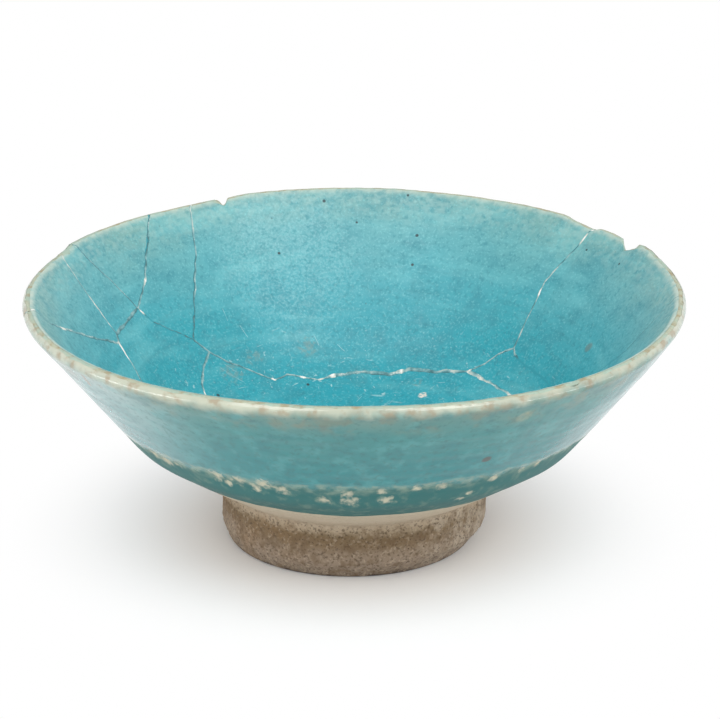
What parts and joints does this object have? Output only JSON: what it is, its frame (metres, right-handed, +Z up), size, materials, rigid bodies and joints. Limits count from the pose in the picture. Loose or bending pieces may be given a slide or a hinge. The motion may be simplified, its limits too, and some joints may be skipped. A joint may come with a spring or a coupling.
{
  "type": "glazed bowl",
  "caption": "Flaring turquoise-glazed stonepaste bowl on a turned foot ring, with a bare lip and underside, mended from sherds with adhesive; holds food or stands on display.",
  "frame": {"origin": "on the bowl's axis, in the plane that the foot ring stands on", "axes": "+Z up along the axis out of the mouth; -Y towards the viewer of the picture, +X to the viewer's right"},
  "size_m": [0.18, 0.18, 0.071],
  "materials": {
    "stonepaste": "matt, grainy, bare",
    "glaze_inside": "satin gloss, mottled turquoise",
    "glaze_outside": "satin gloss, mottled teal, worn",
    "adhesive": "matt, grey to white"
  },
  "bodies": {
    "root": {"back_wall_sherd": "stonepaste", "back_left_sherd": "stonepaste", "left_upper_sherd": "stonepaste", "left_narrow_sherd": "stonepaste", "left_side_sherd": "stonepaste", "front_wall_sherd": "stonepaste", "right_wall_sherd": "stonepaste", "lower_left_sherd": "stonepaste", "lower_right_sherd": "stonepaste", "base_foot_sherd": "stonepaste", "back_wall_inner_glaze": "glaze_inside", "back_left_inner_glaze": "glaze_inside", "left_upper_inner_glaze": "glaze_inside", "left_narrow_inner_glaze": "glaze_inside", "left_side_inner_glaze": "glaze_inside", "front_wall_inner_glaze": "glaze_inside", "right_wall_inner_glaze": "glaze_inside", "lower_left_inner_glaze": "glaze_inside", "lower_right_inner_glaze": "glaze_inside", "base_foot_inner_glaze": "glaze_inside", "back_wall_outer_glaze": "glaze_outside", "back_left_outer_glaze": "glaze_outside", "left_upper_outer_glaze": "glaze_outside", "left_narrow_outer_glaze": "glaze_outside", "left_side_outer_glaze": "glaze_outside", "front_wall_outer_glaze": "glaze_outside", "right_wall_outer_glaze": "glaze_outside", "lower_left_outer_glaze": "glaze_outside", "lower_right_outer_glaze": "glaze_outside", "base_foot_outer_glaze": "glaze_outside", "ring_glue": "adhesive", "base_glue": "adhesive", "break_a_glue": "adhesive", "break_b_glue": "adhesive", "break_c_glue": "adhesive", "break_d_glue": "adhesive", "break_e_glue": "adhesive", "break_f_glue": "adhesive", "break_g_glue": "adhesive"}
  },
  "joints": []
}
